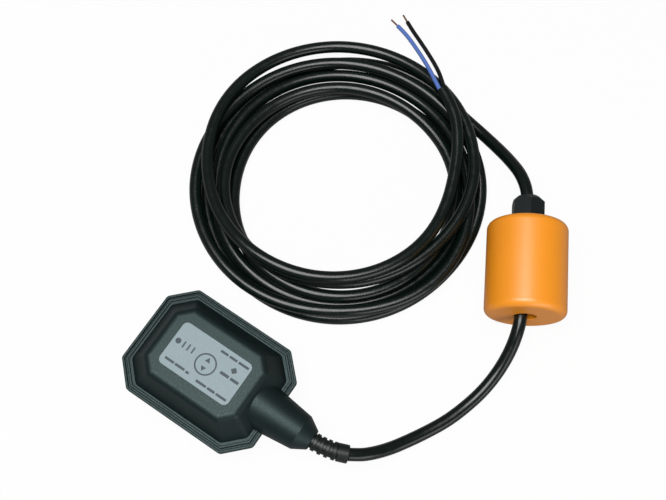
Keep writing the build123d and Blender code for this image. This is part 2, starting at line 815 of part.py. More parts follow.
# End cap with the slotted spigot that the nut squeezes
seal_start = cap_face - seal_inset
with BuildPart() as weight_end_cap:
    with BuildSketch(weight_plane.offset(cap_start)):
        Circle(cavity_radius - ballast_fit / 2)
    extrude(amount=cap_face - cap_start)
    with BuildSketch(weight_plane.offset(cap_face)):
        Circle(spigot_diameter / 2)
    extrude(amount=spigot_length)
    with BuildSketch(weight_plane.offset(cap_face + spigot_length)):
        with PolarLocations(0, spigot_slots):
            Rectangle(spigot_diameter, spigot_slot_width, align=(Align.MIN, Align.CENTER))
    extrude(amount=-spigot_slot_depth, mode=Mode.SUBTRACT)
    with BuildSketch(weight_plane.offset(seal_start)):
        Circle(seal_diameter / 2 + seal_fit)
    extrude(amount=spigot_length + seal_inset, mode=Mode.SUBTRACT)
    with BuildSketch(weight_plane.offset(cap_start)):
        Circle(cable_radius + weight_sleeve_wall)
    extrude(amount=seal_start - cap_start, mode=Mode.SUBTRACT)
finish(weight_end_cap.part, "weight_end_cap")

with BuildPart() as gland_seal:
    with BuildSketch(weight_plane.offset(seal_start + seal_fit)):
        Circle(seal_diameter / 2)
        Circle(cable_hole_radius, mode=Mode.SUBTRACT)
    extrude(amount=seal_length)
finish(gland_seal.part, "gland_seal")

nut_start = cap_face + nut_gap
nut_end = nut_start + nut_length
nut_corner_radius = nut_across_flats / 3**0.5
nut_bore_depth = cap_face + spigot_length + nut_gap - nut_start
nut_seal_depth = seal_start + seal_fit + seal_length + nut_gap - nut_start
with BuildPart() as gland_nut:
    with BuildSketch(weight_plane.offset(nut_start)):
        RegularPolygon(nut_corner_radius, 6, rotation=30)
    extrude(amount=nut_length)
    with BuildSketch(Plane(origin=weight_mouth, x_dir=weight_direction, z_dir=(-sin(heading), cos(heading), 0))):
        with BuildLine():
            Polyline(
                (nut_start, 0),
                (nut_start, nut_corner_radius),
                (nut_end - nut_dome_height, nut_corner_radius),
                (nut_end, nut_dome_radius),
                (nut_end, 0),
                close=True,
            )
        make_face()
    revolve(axis=Axis(weight_mouth, weight_direction), mode=Mode.INTERSECT)
    with BuildSketch(weight_plane.offset(nut_start)):
        Circle(spigot_diameter / 2 + nut_thread_clearance)
    extrude(amount=nut_bore_depth, mode=Mode.SUBTRACT)
    with BuildSketch(weight_plane.offset(nut_start)):
        Circle(seal_diameter / 2 + nut_thread_clearance)
    extrude(amount=nut_seal_depth, mode=Mode.SUBTRACT)
    with BuildSketch(weight_plane.offset(nut_start)):
        Circle(cable_radius + nut_exit_clearance)
    extrude(amount=nut_length, mode=Mode.SUBTRACT)
finish(gland_nut.part, "gland_nut")

# Loose cable, from the strain relief through the counterweight to the coil
lead_route = [
    relief_end,
    lead_start,
    (120.0, 15.8, 16.2),
    (128.6, 28.0, 12.4),
    (136.8, 46.4, 7.8),
    (143.4, 69.2, 5.0),
    (149.0, 90.5, 6.2),
    (152.5, 107.4, 11.6),
    (152.8, 119.6, 18.4),
    (150.6, 130.0, 24.0),
    (147.7, 140.6, 26.6),
    (126.6, 183.6, 26.75),
    (109.2, 215.0, 26.75),
    (98.0, 226.4, 24.6),
    (84.0, 236.2, 16.6),
    (68.0, 243.6, 8.6),
    (52.0, 248.4, 5.0),
    (36.0, 250.6, 4.4),
]
lead_radii = corner_radii(lead_route)
cable_lead = tube(lead_route, lead_radii, cable_radius)
finish(cable_lead, "cable_lead")
print("cable arc radii", [round(radius, 1) for radius in lead_radii])

with BuildPart() as cable_coil:
    coil_centre = (coil_centre_x, coil_centre_y, 0)
    with BuildSketch(Plane(origin=coil_centre, x_dir=(1, 0, 0), z_dir=(0, -1, 0))):
        with Locations(((coil_outer_radius + coil_inner_radius) / 2, coil_height / 2)):
            RectangleRounded(coil_outer_radius - coil_inner_radius, coil_height, coil_round)
    revolve(axis=Axis(coil_centre, (0, 0, 1)))
finish(cable_coil.part, "cable_coil")

# Bared cores at the free end, each with a stripped conductor
core_routes = {
    "blue": [
        (20.7, 249.6, 18.2),
        (13.0, 257.4, 17.6),
        (-5.0, 267.4, 12.6),
        (-24.5, 279.6, 6.6),
        (-40.6, 288.0, 2.6),
    ],
    "black": [
        (22.9, 251.8, 18.2),
        (16.0, 259.6, 18.0),
        (1.2, 272.6, 13.4),
        (-17.6, 284.6, 7.0),
        (-36.4, 294.6, 2.8),
    ],
}
for colour, points in core_routes.items():
    core_radii = corner_radii(points)
    core = tube(points, core_radii, core_diameter / 2)
    finish(core, f"core_{colour}")
    print(colour, "core arc radii", [round(radius, 1) for radius in core_radii])
    last_run = (Vector(points[-1]) - Vector(points[-2])).normalized()
    with BuildPart() as conductor:
        with BuildSketch(Plane(origin=points[-1], z_dir=last_run)):
            Circle(conductor_diameter / 2)
        extrude(amount=bare_length)
    finish(conductor.part, f"conductor_{colour}")
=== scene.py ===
"""A cable float switch with its counterweight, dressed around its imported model.

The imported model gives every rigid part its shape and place. This file makes the free cable with its coil,
the two cores and their stranded ends, the print on the label plate, every finish and the stage.
"""

import math

import bpy
from bpy.props import FloatProperty, FloatVectorProperty, IntProperty, PointerProperty
from mathutils import Matrix, Vector


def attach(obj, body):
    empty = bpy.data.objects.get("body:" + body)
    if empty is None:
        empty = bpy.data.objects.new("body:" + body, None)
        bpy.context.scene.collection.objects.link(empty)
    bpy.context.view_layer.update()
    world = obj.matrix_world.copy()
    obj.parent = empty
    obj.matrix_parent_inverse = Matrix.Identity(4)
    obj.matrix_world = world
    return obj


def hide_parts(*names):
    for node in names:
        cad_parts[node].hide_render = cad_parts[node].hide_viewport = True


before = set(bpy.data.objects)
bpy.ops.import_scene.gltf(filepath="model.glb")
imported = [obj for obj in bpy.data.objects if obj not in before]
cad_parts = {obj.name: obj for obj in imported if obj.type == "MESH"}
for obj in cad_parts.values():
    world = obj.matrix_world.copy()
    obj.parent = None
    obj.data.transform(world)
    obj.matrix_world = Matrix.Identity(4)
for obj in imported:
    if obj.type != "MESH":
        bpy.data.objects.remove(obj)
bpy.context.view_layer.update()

bl_info = {
    "name": "Cable Float Switch",
    "version": (1, 0, 0),
    "blender": (4, 5, 0),
    "location": "3D View > Sidebar > Float Switch",
    "description": "Cable, cores, label print, finishes and stage of a cable float switch",
    "category": "Object",
}

MM = 0.001
HOUSING = "housing"

# The cable leaves the strain relief, dips to the floor, climbs to the weight's mouth, runs through the
# weight and its nut, and comes down to the coil. These are the points of its route, in metres.
RELIEF_END = (0.1034, 0.0055, 0.0194)
LEAD_ROUTE = (
    RELIEF_END,
    (0.1099, 0.0096, 0.0179),
    (0.1152, 0.0148, 0.0151),
    (0.1207, 0.0216, 0.0112),
    (0.1258, 0.0290, 0.0080),
    (0.1350, 0.0443, 0.0052),
    (0.1438, 0.0608, 0.0045),
    (0.1497, 0.0778, 0.0046),
    (0.1533, 0.0928, 0.0068),
    (0.1545, 0.1078, 0.0116),
    (0.1535, 0.1212, 0.0180),
    (0.1507, 0.1325, 0.0240),
    (0.1474, 0.1408, 0.0265),
    (0.1266, 0.1836, 0.02675),
    (0.1092, 0.2150, 0.02675),
    (0.0980, 0.2264, 0.0246),
    (0.0845, 0.2355, 0.0160),
    (0.0695, 0.2429, 0.0082),
    (0.0530, 0.2480, 0.0048),
    (0.0360, 0.2516, 0.0043),
)
# The coil lies over this many of the lead's last points. The lead is sampled there at these shares of the
# way from one to the next, and ranks below every turn.
LEAD_END_STRETCH = 5
LEAD_SHARES = (0, 0.25, 0.5, 0.75)
LEAD_RANK = -1

# The coil's turns, in the order in which the cable runs. Each row gives how far the turn reaches from the
# coil's centre, in millimetres, at eight places an eighth of a turn apart, and its rank there: a stretch
# rests on those of a lower rank. The first place is an eighth of a turn past COIL_START.
COIL_CENTRE = (-0.0065, 0.1579)
COIL_START = math.radians(34)
PLACES_PER_TURN = 8
COIL_TURNS = (
    ((101.5, 95.0, 90.0, 91.5, 94.5, 96.0, 96.5, 99.0), (0, 0, 0, 0, 0, 0, 0, 0)),
    ((91.0, 90.5, 93.0, 98.5, 97.5, 93.0, 97.0, 89.5), (1, 1, 1, 1, 1, 1, 1, 0.6)),
    ((84.5, 83.5, 83.5, 84.0, 87.5, 87.0, 88.0, 87.0), (0.5, 0.5, 0.5, 0.5, 0.5, 0.5, 0.5, 0.5)),
    ((77.0, 70.5, 69.0, 71.5, 80.0, 83.5, 83.0, 81.0), (0, 0, 0, 0, 1, 1, 1, 1)),
    ((73.5, 71.0, 73.0, 78.0, 79.0, 75.5, 80.0, 92.5), (1, 1, 1, 1.5, 1.5, 1.5, 1.5, 3)),
    ((99.5, 103.5, 99.5, 88.5, 80.0, 74.5, 74.5, 78.5), (3, 3, 3, 3, 3, 3, 3, 4)),
    ((98.0,), (5,)),
)
# Where the jacket is cut, just short of the last place of the coil.
JACKET_END = (0.0187, 0.2501, 0.0275)

# The coil's line is sampled between its places, and every fourth sample becomes a control point. A stretch
# is carried by another only if it ranks higher by more than RANK_STEP. EASING_ROUNDS is how often the
# heights are drawn towards their neighbours'.
SAMPLES_PER_PLACE = 12
SAMPLES_PER_POINT = 4
RANK_STEP = 0.05
EASING_ROUNDS = 70

# The two cores run out over the coil and come down to the floor, stripped for the terminals.
BLUE_CORE_ROUTE = (
    (0.0074, 0.2566, 0.0245),
    (-0.0049, 0.2669, 0.0170),
    (-0.0194, 0.2772, 0.0095),
    (-0.0318, 0.2846, 0.0050),
)
BLUE_CORE_END = (-0.0406, 0.2880, 0.0026)
BLACK_CORE_ROUTE = (
    (0.0097, 0.2616, 0.0240),
    (-0.0018, 0.2708, 0.0180),
    (-0.0168, 0.2816, 0.0105),
    (-0.0286, 0.2892, 0.0055),
)
BLACK_CORE_END = (-0.0364, 0.2946, 0.0028)
# How far the middle of each core lies from the middle of the jacket, in core diameters.
CORE_OFFSET = 0.55

# How finely the cords are drawn, round the section and from one control point to the next.
CABLE_FINENESS = (8, 8)
CORE_FINENESS = (5, 10)

# A conductor is three strands across: one in the middle and the others twisted round it.
STRANDS_ACROSS = 3
STRAND_SIDES = 8
TWIST_STEPS = 20
STRAND_CREASE = math.radians(40)

# The print on the label plate, in millimetres of the model: the plate's upper face, then rows of print as
# plain bars, each from one x to another at a y and so high, and the round and pointed marks by their middle
# and reach. The ring also has the width of its band, and a pointed mark its heading in degrees and its
# count of corners.
LABEL_TOP = 41.7
PRINT_BARS = (
    (-23.3, -16.4, -10.8, 1.6),
    (-15.6, -8.4, -10.8, 1.6),
    (-7.2, -4.8, -11.1, 1.6),
    (1.3, 9.0, -12.0, 1.6),
    (9.9, 15.6, -12.0, 1.6),
    (16.5, 24.3, -12.0, 1.6),
    (3.4, 9.0, 11.9, 1.6),
    (10.0, 15.8, 11.9, 1.6),
    (16.8, 24.6, 11.9, 1.6),
    (10.8, 17.3, 0.7, 1.9),
    (18.4, 24.6, 0.7, 1.9),
    (-18.7, -17.7, 2.2, 4.6),
    (-15.2, -14.2, 2.2, 4.6),
    (-11.7, -10.7, 2.2, 4.6),
)
PRINT_DISC = (-22.6, 2.2, 1.9)
PRINT_RING = (0.4, -0.6, 7.2, 1.0)
PRINT_POINTS = ((0.4, 2.2, 2.1, 90, 3), (0.4, -3.4, 2.1, -90, 3), (17.6, 5.9, 2.3, 0, 4))
DISC_SIDES = 32
RING_SIDES = 64
CORNER_STEPS = 3
# A new circle's first corner has this heading, in degrees.
FIRST_CORNER = 90


def linear_rgb(hex_colour):
    """The linear red, green and blue of an sRGB hex colour."""
    shares = [int(hex_colour[place : place + 2], 16) / 255 for place in (0, 2, 4)]
    return tuple(s / 12.92 if s <= 0.04045 else ((s + 0.055) / 1.055) ** 2.4 for s in shares)


def length_property(name, description, millimetres):
    return FloatProperty(name=name, description=description, default=millimetres * MM, unit="LENGTH")


class FloatSwitchSizes(bpy.types.PropertyGroup):
    """Sizes of the pieces that this file makes."""

    cable_diameter: length_property("Cable Diameter", "Outside diameter of the jacket", 8.4)
    core_diameter: length_property("Core Diameter", "Outside diameter of one insulated core", 3.0)
    conductor_diameter: length_property("Conductor Diameter", "Across the bare strands", 1.4)
    bare_length: length_property("Bare Length", "Length of stripped conductor", 8.0)
    strand_lay: length_property("Strand Lay", "Length in which the strands turn once", 11.0)
    outer_strands: IntProperty(
        name="Outer Strands", description="Strands laid round the middle one", default=6, min=5, max=12
    )
    print_thickness: length_property("Print Thickness", "How far the ink stands on the label", 0.06)
    print_corner: length_property("Print Corner", "Corner radius of a printed block", 0.35)


def colour_property(name, description, hex_colour):
    colour = linear_rgb(hex_colour)
    return FloatVectorProperty(
        name=name, description=description, subtype="COLOR", size=3, min=0, max=1, default=colour
    )


class FloatSwitchColours(bpy.types.PropertyGroup):
    """Main colour of each finish."""

    float_black: colour_property("Float", "Moulded float shells", "101B1B")
    label_silver: colour_property("Label", "Face of the label plate", "8D9EA3")
    print_grey: colour_property("Print", "Ink on the label plate", "38464B")
    relief_rubber: colour_property("Strain Relief", "Rubber strain relief", "101816")
    seal_rubber: colour_property("Seal", "Grommet and gland seal", "1A1A1A")
    cable_black: colour_property("Cable", "Jacket of the cable", "08130F")
    core_blue: colour_property("Blue Core", "Insulation of the blue core", "6080CC")
    core_black: colour_property("Black Core", "Insulation of the black core", "101113")
    copper: colour_property("Copper", "Bare strands", "DDA488")
    weight_orange: colour_property("Weight", "Moulded weight shell and cap", "FF9A14")
    nut_black: colour_property("Nut", "Clamping nut", "131B1B")


# Finishes

# The mixer's sockets for colours share their names with those for numbers, so they go by their places.
MIX_FACTOR = 0
MIX_FIRST = 6
MIX_SECOND = 7
MIXED = 2


def add_node(tree, kind, inputs=None, **settings):
    """Adds a node with these settings, and fills its inputs with values or links from other nodes."""
    node = tree.nodes.new(kind)
    for name, value in settings.items():
        setattr(node, name, value)
    for name, value in (inputs or {}).items():
        if isinstance(value, bpy.types.NodeSocket):
            tree.links.new(value, node.inputs[name])
        else:
            node.inputs[name].default_value = value
    return node


def per_metre(millimetres):
    """The scale at which a noise texture's features are about so many millimetres across."""
    return 1 / (millimetres * MM)


def tinted(colour, factor):
    """The colour made lighter or darker by a factor, with its alpha."""
    return tuple(min(1.0, channel * factor) for channel in colour[:3]) + (1.0,)


def surface(
    name,
    colour,
    mottle=0.12,
    mottle_size=14.0,
    grain_size=0.7,
    grain_depth=0.012,
    roughness=(0.4, 0.5),
    **shader,
):
    """A finish with a slow drift of tone, a fine grain in its relief and an uneven gloss.

    Sizes are in millimetres. shader holds what is the same all over, set on the shader's own sockets.
    """
    material = bpy.data.materials.new(name)
    material.use_nodes = True
    tree = material.node_tree
    tree.nodes.clear()
    place = add_node(tree, "ShaderNodeTexCoord").outputs["Object"]
    drift = add_node(
        tree,
        "ShaderNodeTexNoise",
        {"Vector": place, "Scale": per_metre(mottle_size), "Detail": 3.0, "Roughness": 0.55},
    ).outputs["Fac"]
    grain = add_node(
        tree,
        "ShaderNodeTexNoise",
        {"Vector": place, "Scale": per_metre(grain_size), "Detail": 2.0, "Roughness": 0.5},
    ).outputs["Fac"]
    tone = add_node(
        tree,
        "ShaderNodeMix",
        {MIX_FACTOR: drift, MIX_FIRST: tinted(colour, 1 - mottle), MIX_SECOND: tinted(colour, 1 + mottle)},
        data_type="RGBA",
    ).outputs[MIXED]
    gloss = add_node(
        tree,
        "ShaderNodeMapRange",
        {"Value": grain, "From Min": 0.3, "From Max": 0.7, "To Min": roughness[0], "To Max": roughness[1]},
    ).outputs["Result"]
    relief = add_node(
        tree, "ShaderNodeBump", {"Height": grain, "Strength": 0.5, "Distance": grain_depth * MM}
    ).outputs["Normal"]
    skin = add_node(
        tree,
        "ShaderNodeBsdfPrincipled",
        {"Base Color": tone, "Roughness": gloss, "Normal": relief, **shader},
    ).outputs["BSDF"]
    add_node(tree, "ShaderNodeOutputMaterial", {"Surface": skin})
    return material


# The material of each slot in the record.
FINISHES = {
    "float_black": "eroded_black_polypropylene",
    "label_silver": "satin_anodised_plate",
    "relief_rubber": "moulded_nitrile_rubber",
    "seal_rubber": "moulded_seal_rubber",
    "cable_black": "extruded_black_pvc",
    "core_blue": "extruded_blue_pvc",
    "core_black": "extruded_core_black_pvc",
    "copper": "drawn_bare_copper",
    "weight_orange": "moulded_orange_polypropylene",
    "ballast_iron": "sand_cast_iron",
    "nut_black": "moulded_black_nylon",
    "capsule_grey": "moulded_grey_abs",
    "screw_steel": "zinc_plated_steel",
    "ball_steel": "ground_bearing_steel",
    "rocker_white": "moulded_white_acetal",
    "switch_dark": "moulded_dark_phenolic",
    "contact_brass": "stamped_rolled_brass",
}
PRINT_FINISH = "screen_printed_ink"


def make_finishes(colours):
    """Makes every material in FINISHES, and that of the print."""
    make_plastic_finishes(colours)
    make_rubber_and_cable_finishes(colours)
    make_metal_finishes(colours)
    # Screen-printed ink: a flat dark grey, a little thin in places. The coverage is drawn coarser than real,
    # to show.
    surface(
        PRINT_FINISH, colours.print_grey,
        mottle=0.3, mottle_size=1.6, grain_size=0.3, grain_depth=0.004, roughness=(0.5, 0.65),
    )


def make_plastic_finishes(colours):
    # Polypropylene from a spark-eroded mould: a dull black that greys over where it faces the light, with a
    # green cast in its shine.
    surface(
        "eroded_black_polypropylene", colours.float_black,
        mottle=0.25, mottle_size=22, grain_size=0.9, grain_depth=0.05, roughness=(0.4, 0.52),
        **{"Specular IOR Level": 0.45, "Specular Tint": (*linear_rgb("E1FFFF"), 1)},
    )
    # Moulded polypropylene in safety orange: a satin skin with a broad soft highlight and faint flow marks.
    surface(
        "moulded_orange_polypropylene", colours.weight_orange,
        mottle=0.05, mottle_size=26, grain_size=1.1, grain_depth=0.02, roughness=(0.36, 0.44),
        **{"Specular IOR Level": 1.0},
    )
    # Moulded glass-filled nylon: a satin black with a fine rough skin.
    surface(
        "moulded_black_nylon", colours.nut_black,
        mottle=0.2, mottle_size=7, grain_size=0.6, grain_depth=0.03, roughness=(0.34, 0.46),
    )
    # Moulded ABS of the inner capsule and its clamp: a plain satin grey.
    surface("moulded_grey_abs", linear_rgb("8C9193"), mottle=0.05, roughness=(0.4, 0.5))
    # Moulded acetal of the rocker and the plunger: a slick off-white.
    surface("moulded_white_acetal", linear_rgb("DEDDD6"), mottle=0.03, roughness=(0.3, 0.4))
    # Moulded phenolic of the switch case: a hard dark brown-grey with a dull shine.
    surface("moulded_dark_phenolic", linear_rgb("26282C"), roughness=(0.4, 0.5))


def make_rubber_and_cable_finishes(colours):
    # Moulded nitrile rubber: soft black without a sharp highlight.
    surface(
        "moulded_nitrile_rubber", colours.relief_rubber,
        mottle=0.2, mottle_size=9, grain_size=0.6, grain_depth=0.03, roughness=(0.36, 0.5),
    )
    # Moulded seal rubber: a dead matt black that shows only in the bores.
    surface("moulded_seal_rubber", colours.seal_rubber, grain_depth=0.02, roughness=(0.6, 0.75))
    # Extruded soft PVC jacket: near black, smooth and glossy, with a slight waviness from the die.
    surface(
        "extruded_black_pvc", colours.cable_black,
        mottle=0.25, mottle_size=30, grain_size=4.5, grain_depth=0.03, roughness=(0.18, 0.28),
    )
    # Extruded PVC core insulation: a clean saturated skin with a soft shine, in blue and in black.
    surface(
        "extruded_blue_pvc", colours.core_blue,
        mottle=0.08, mottle_size=8, grain_size=1.5, grain_depth=0.006, roughness=(0.28, 0.38),
    )
    surface(
        "extruded_core_black_pvc", colours.core_black,
        mottle=0.15, mottle_size=8, grain_size=1.5, grain_depth=0.006, roughness=(0.25, 0.35),
    )


def make_metal_finishes(colours):
    # Satin anodised aluminium plate under a clear lacquer: pale silver with a faint cloudiness. It is shaded
    # as the lacquer, since no bare metal shows.
    surface(
        "satin_anodised_plate", colours.label_silver,
        mottle=0.12, mottle_size=1.4, grain_size=0.5, grain_depth=0.01, roughness=(0.42, 0.54),
        **{"Specular IOR Level": 0.3},
    )
    # Drawn soft copper: a warm metal, a little oxidised in the hollows between the strands.
    surface(
        "drawn_bare_copper", colours.copper,
        mottle=0.18, mottle_size=1.2, grain_size=0.25, grain_depth=0.004, roughness=(0.24, 0.4), Metallic=1.0,
    )
    # Sand-cast iron: a dark uneven metal with a coarse skin.
    surface(
        "sand_cast_iron", linear_rgb("5C5A57"),
        mottle=0.3, mottle_size=3, grain_size=0.8, grain_depth=0.08, roughness=(0.5, 0.7), Metallic=1.0,
    )
    # Zinc-plated screws: a bright metal with a faint cloud from the plating bath.
    surface(
        "zinc_plated_steel", linear_rgb("B9BBBD"),
        mottle=0.08, mottle_size=1.5, grain_size=0.3, grain_depth=0.006, roughness=(0.25, 0.38), Metallic=1.0,
    )
    # Ground bearing ball: almost a mirror.
    surface(
        "ground_bearing_steel", linear_rgb("C9CBCC"),
        mottle=0.04, mottle_size=4, grain_size=0.4, grain_depth=0.002, roughness=(0.08, 0.14), Metallic=1.0,
    )
    # Stamped brass terminals and leaf: a yellow metal with fine rolling marks.
    surface(
        "stamped_rolled_brass", linear_rgb("D8B25A"),
        mottle=0.08, mottle_size=2, grain_size=0.3, grain_depth=0.004, roughness=(0.22, 0.34), Metallic=1.0,
    )


def finish(piece, slot_name, material_name=None):
    """Gives a new piece its body and the material of its slot."""
    piece.data.materials.clear()
    piece.data.materials.append(bpy.data.materials[material_name or FINISHES[slot_name]])
    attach(piece, HOUSING)


class FLOATSWITCH_OT_finishes(bpy.types.Operator):
    """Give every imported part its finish"""

    bl_idname = "float_switch.finishes"
    bl_label = "Make Finishes"

    def execute(self, context):
        make_finishes(context.scene.float_switch_colours)
        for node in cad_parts.values():
            for place in node.material_slots:
                slot_name = place.material.name.split(".")[0]
                place.material = bpy.data.materials[FINISHES[slot_name]]
        return {"FINISHED"}


# The cable and its cores


def through(values, position):
    """A smooth value at a place along a row of values, which it passes through."""
    index = min(int(position), len(values) - 2)
    share = position - index
    before, start = values[max(index - 1, 0)], values[index]
    end, after = values[index + 1], values[min(index + 2, len(values) - 1)]
    return start + 0.5 * share * (
        end - before
        + share * (2 * before - 5 * start + 4 * end - after)
        + share**2 * (3 * start - before - 3 * end + after)
    )


def between(values, position):
    """The value at a place along a row of values, on a straight line from one to the next."""
    index = min(int(position), len(values) - 2)
    return values[index] + (position - index) * (values[index + 1] - values[index])


def settled_heights(places, ranks, known, radius):
    """How high each place of a coiled cable's line lies, resting on the floor or on the turns below it.

    known gives the heights that are already settled, at the start of the line. A stiff cable eases up to a
    crossing and down again, so each height is drawn towards its neighbours' and never sinks into what
    carries it.
    """
    count = len(places)
    carried_by = [[] for _ in places]
    for upper in range(count):
        for lower in range(count):
            apart = math.dist(places[upper], places[lower])
            is_higher = ranks[upper] > ranks[lower] + RANK_STEP
            if is_higher and abs(upper - lower) > SAMPLES_PER_PLACE and apart < 2 * radius:
                carried_by[upper].append((lower, math.sqrt(4 * radius**2 - apart**2)))
    heights = list(known) + [radius] * (count - len(known))
    for _ in range(EASING_ROUNDS):
        for here in range(len(known), count):
            resting = max([radius] + [heights[lower] + rise for lower, rise in carried_by[here]])
            eased = (heights[here - 1] + heights[min(here + 1, count - 1)]) / 2
            heights[here] = max(resting, eased)
    return heights


def coil_points(radius):
    """The control points of the coil's turns."""
    reaches = [reach * MM for turn in COIL_TURNS for reach in turn[0]]
    lies_over = [rank for turn in COIL_TURNS for rank in turn[1]]
    places, ranks, known = [], [], []
    for start, end in zip(LEAD_ROUTE[-LEAD_END_STRETCH:-1], LEAD_ROUTE[-LEAD_END_STRETCH + 1 :]):
        for share in LEAD_SHARES:
            point = Vector(start).lerp(Vector(end), share)
            places.append((point.x, point.y))
            known.append(point.z)
            ranks.append(LEAD_RANK)
    lead_count = len(places)
    points_per_turn = PLACES_PER_TURN * SAMPLES_PER_PLACE / SAMPLES_PER_POINT
    # The spline runs a little inside its control points, so they stand that much further out.
    outward = 1 / math.cos(math.pi / points_per_turn)
    for sample in range((len(reaches) - 1) * SAMPLES_PER_PLACE + 1):
        position = sample / SAMPLES_PER_PLACE
        angle = COIL_START + (position + 1) * math.tau / PLACES_PER_TURN
        reach = through(reaches, position) * outward
        places.append((COIL_CENTRE[0] + reach * math.cos(angle), COIL_CENTRE[1] + reach * math.sin(angle)))
        ranks.append(between(lies_over, position))
    heights = settled_heights(places, ranks, known, radius)
    line = [(*place, height) for place, height in zip(places, heights)]
    return line[lead_count::SAMPLES_PER_POINT]


def smooth_line(name, points, diameter, fineness):
    """A round cord on one smooth spline with these control points."""
    curve = bpy.data.curves.new(name, "CURVE")
    curve.dimensions = "3D"
    curve.bevel_depth = diameter / 2
    curve.bevel_resolution, curve.resolution_u = fineness
    curve.use_fill_caps = True
    spline = curve.splines.new("NURBS")
    spline.points.add(len(points) - 1)
    for control, point in zip(spline.points, points):
        control.co = (*point, 1)
    spline.order_u = 3
    spline.use_endpoint_u = True
    piece = bpy.data.objects.new(name, curve)
    bpy.context.scene.collection.objects.link(piece)
    return piece


def deselect():
    """Leaves nothing selected, so that the next operators act on the new piece alone."""
    if bpy.context.object and bpy.context.object.mode != "OBJECT":
        bpy.ops.object.mode_set(mode="OBJECT")
    bpy.ops.object.select_all(action="DESELECT")


class FLOATSWITCH_OT_cable(bpy.types.Operator):
    """Make the cable from the strain relief through the weight and round the coil"""

    bl_idname = "float_switch.cable"
    bl_label = "Make Cable"

    def execute(self, context):
        sizes = context.scene.float_switch_sizes
        # The jacket's end takes the place of the coil's last point.
        points = [*LEAD_ROUTE, *coil_points(sizes.cable_diameter / 2)[:-1], JACKET_END]
        cable = smooth_line("cable", points, sizes.cable_diameter, CABLE_FINENESS)
        finish(cable, "cable_black")
        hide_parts("cable_lead", "cable_coil")
        return {"FINISHED"}


class FLOATSWITCH_OT_cores(bpy.types.Operator):
    """Make the two insulated cores that come out of the cut jacket"""

    bl_idname = "float_switch.cores"
    bl_label = "Make Cores"

    def execute(self, context):
        sizes = context.scene.float_switch_sizes
        cable_points = bpy.data.objects["cable"].data.splines[0].points
        jacket_end = cable_points[-1].co.to_3d()
        heading = (jacket_end - cable_points[-2].co.to_3d()).normalized()
        side = heading.cross(Vector((0, 0, 1))).normalized() * sizes.core_diameter * CORE_OFFSET
        for name, route, end, offset in (
            ("blue", BLUE_CORE_ROUTE, BLUE_CORE_END, -side),
            ("black", BLACK_CORE_ROUTE, BLACK_CORE_END, side),
        ):
            first = jacket_end + offset
            inside = first - heading * sizes.cable_diameter / 2
            points = [inside, first, *route, end]
            core = smooth_line(f"core_{name}_lead", points, sizes.core_diameter, CORE_FINENESS)
            finish(core, f"core_{name}")
            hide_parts(f"core_{name}")
        return {"FINISHED"}


def twisted_strands(name, sizes):
    """A conductor's strands, twisted round the middle one and standing upright at the origin."""
    strand_radius = sizes.conductor_diameter / 2 / STRANDS_ACROSS
    ring_radius = sizes.conductor_diameter / 2 - strand_radius
    deselect()
    bpy.ops.mesh.primitive_circle_add(vertices=STRAND_SIDES, radius=strand_radius, location=(0, 0, 0))
    bundle = bpy.context.object
    bundle.name = name
    bundle.data.name = name
    bpy.ops.object.mode_set(mode="EDIT")
    for index in range(sizes.outer_strands):
        angle = index * math.tau / sizes.outer_strands
        centre = (ring_radius * math.cos(angle), ring_radius * math.sin(angle), 0)
        bpy.ops.mesh.primitive_circle_add(vertices=STRAND_SIDES, radius=strand_radius, location=centre)
    bpy.ops.object.mode_set(mode="OBJECT")
    twist = bundle.modifiers.new("twist", "SCREW")
    twist.axis = "Z"
    twist.angle = math.tau * sizes.bare_length / sizes.strand_lay
    twist.screw_offset = sizes.bare_length
    twist.steps = TWIST_STEPS
    twist.render_steps = TWIST_STEPS
    twist.use_merge_vertices = False
    bpy.ops.object.modifier_apply(modifier=twist.name)
    bpy.ops.object.mode_set(mode="EDIT")
    bpy.ops.mesh.select_all(action="SELECT")
    bpy.ops.mesh.fill_holes(sides=STRAND_SIDES)
    bpy.ops.mesh.select_all(action="SELECT")
    bpy.ops.mesh.normals_make_consistent(inside=False)
    bpy.ops.object.mode_set(mode="OBJECT")
    bpy.ops.object.shade_smooth_by_angle(angle=STRAND_CREASE)
    return bundle


class FLOATSWITCH_OT_strands(bpy.types.Operator):
    """Make the twisted copper strands at the stripped ends"""

    bl_idname = "float_switch.strands"
    bl_label = "Make Strands"

    def execute(self, context):
        for name, route, end in (
            ("blue", BLUE_CORE_ROUTE, BLUE_CORE_END),
            ("black", BLACK_CORE_ROUTE, BLACK_CORE_END),
        ):
            bundle = twisted_strands(f"strands_{name}", context.scene.float_switch_sizes)
            along = (Vector(end) - Vector(route[-1])).normalized()
            turn = along.to_track_quat("Z", "Y").to_matrix().to_4x4()
            bundle.data.transform(Matrix.Translation(end) @ turn)
            finish(bundle, "copper")
            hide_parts(f"conductor_{name}")
        return {"FINISHED"}


# The print on the label plate


def raise_print(height):
    """Lifts the selected flat shapes off the plate into thin blocks of ink."""
    bpy.ops.mesh.extrude_region_move(TRANSFORM_OT_translate={"value": (0, 0, height)})
    bpy.ops.mesh.select_all(action="DESELECT")


def add_bars(thickness, corner):
    """Adds the rows of print, as bars with rounded corners."""
    for start, end, middle, height in PRINT_BARS:
        place = ((start + end) / 2 * MM, middle * MM, 0)
        bpy.ops.mesh.primitive_plane_add(size=MM, location=place)
        bpy.ops.transform.resize(value=(end - start, height, 1), center_override=place)
        bpy.ops.mesh.bevel(offset=corner, affect="VERTICES", segments=CORNER_STEPS)
        raise_print(thickness)


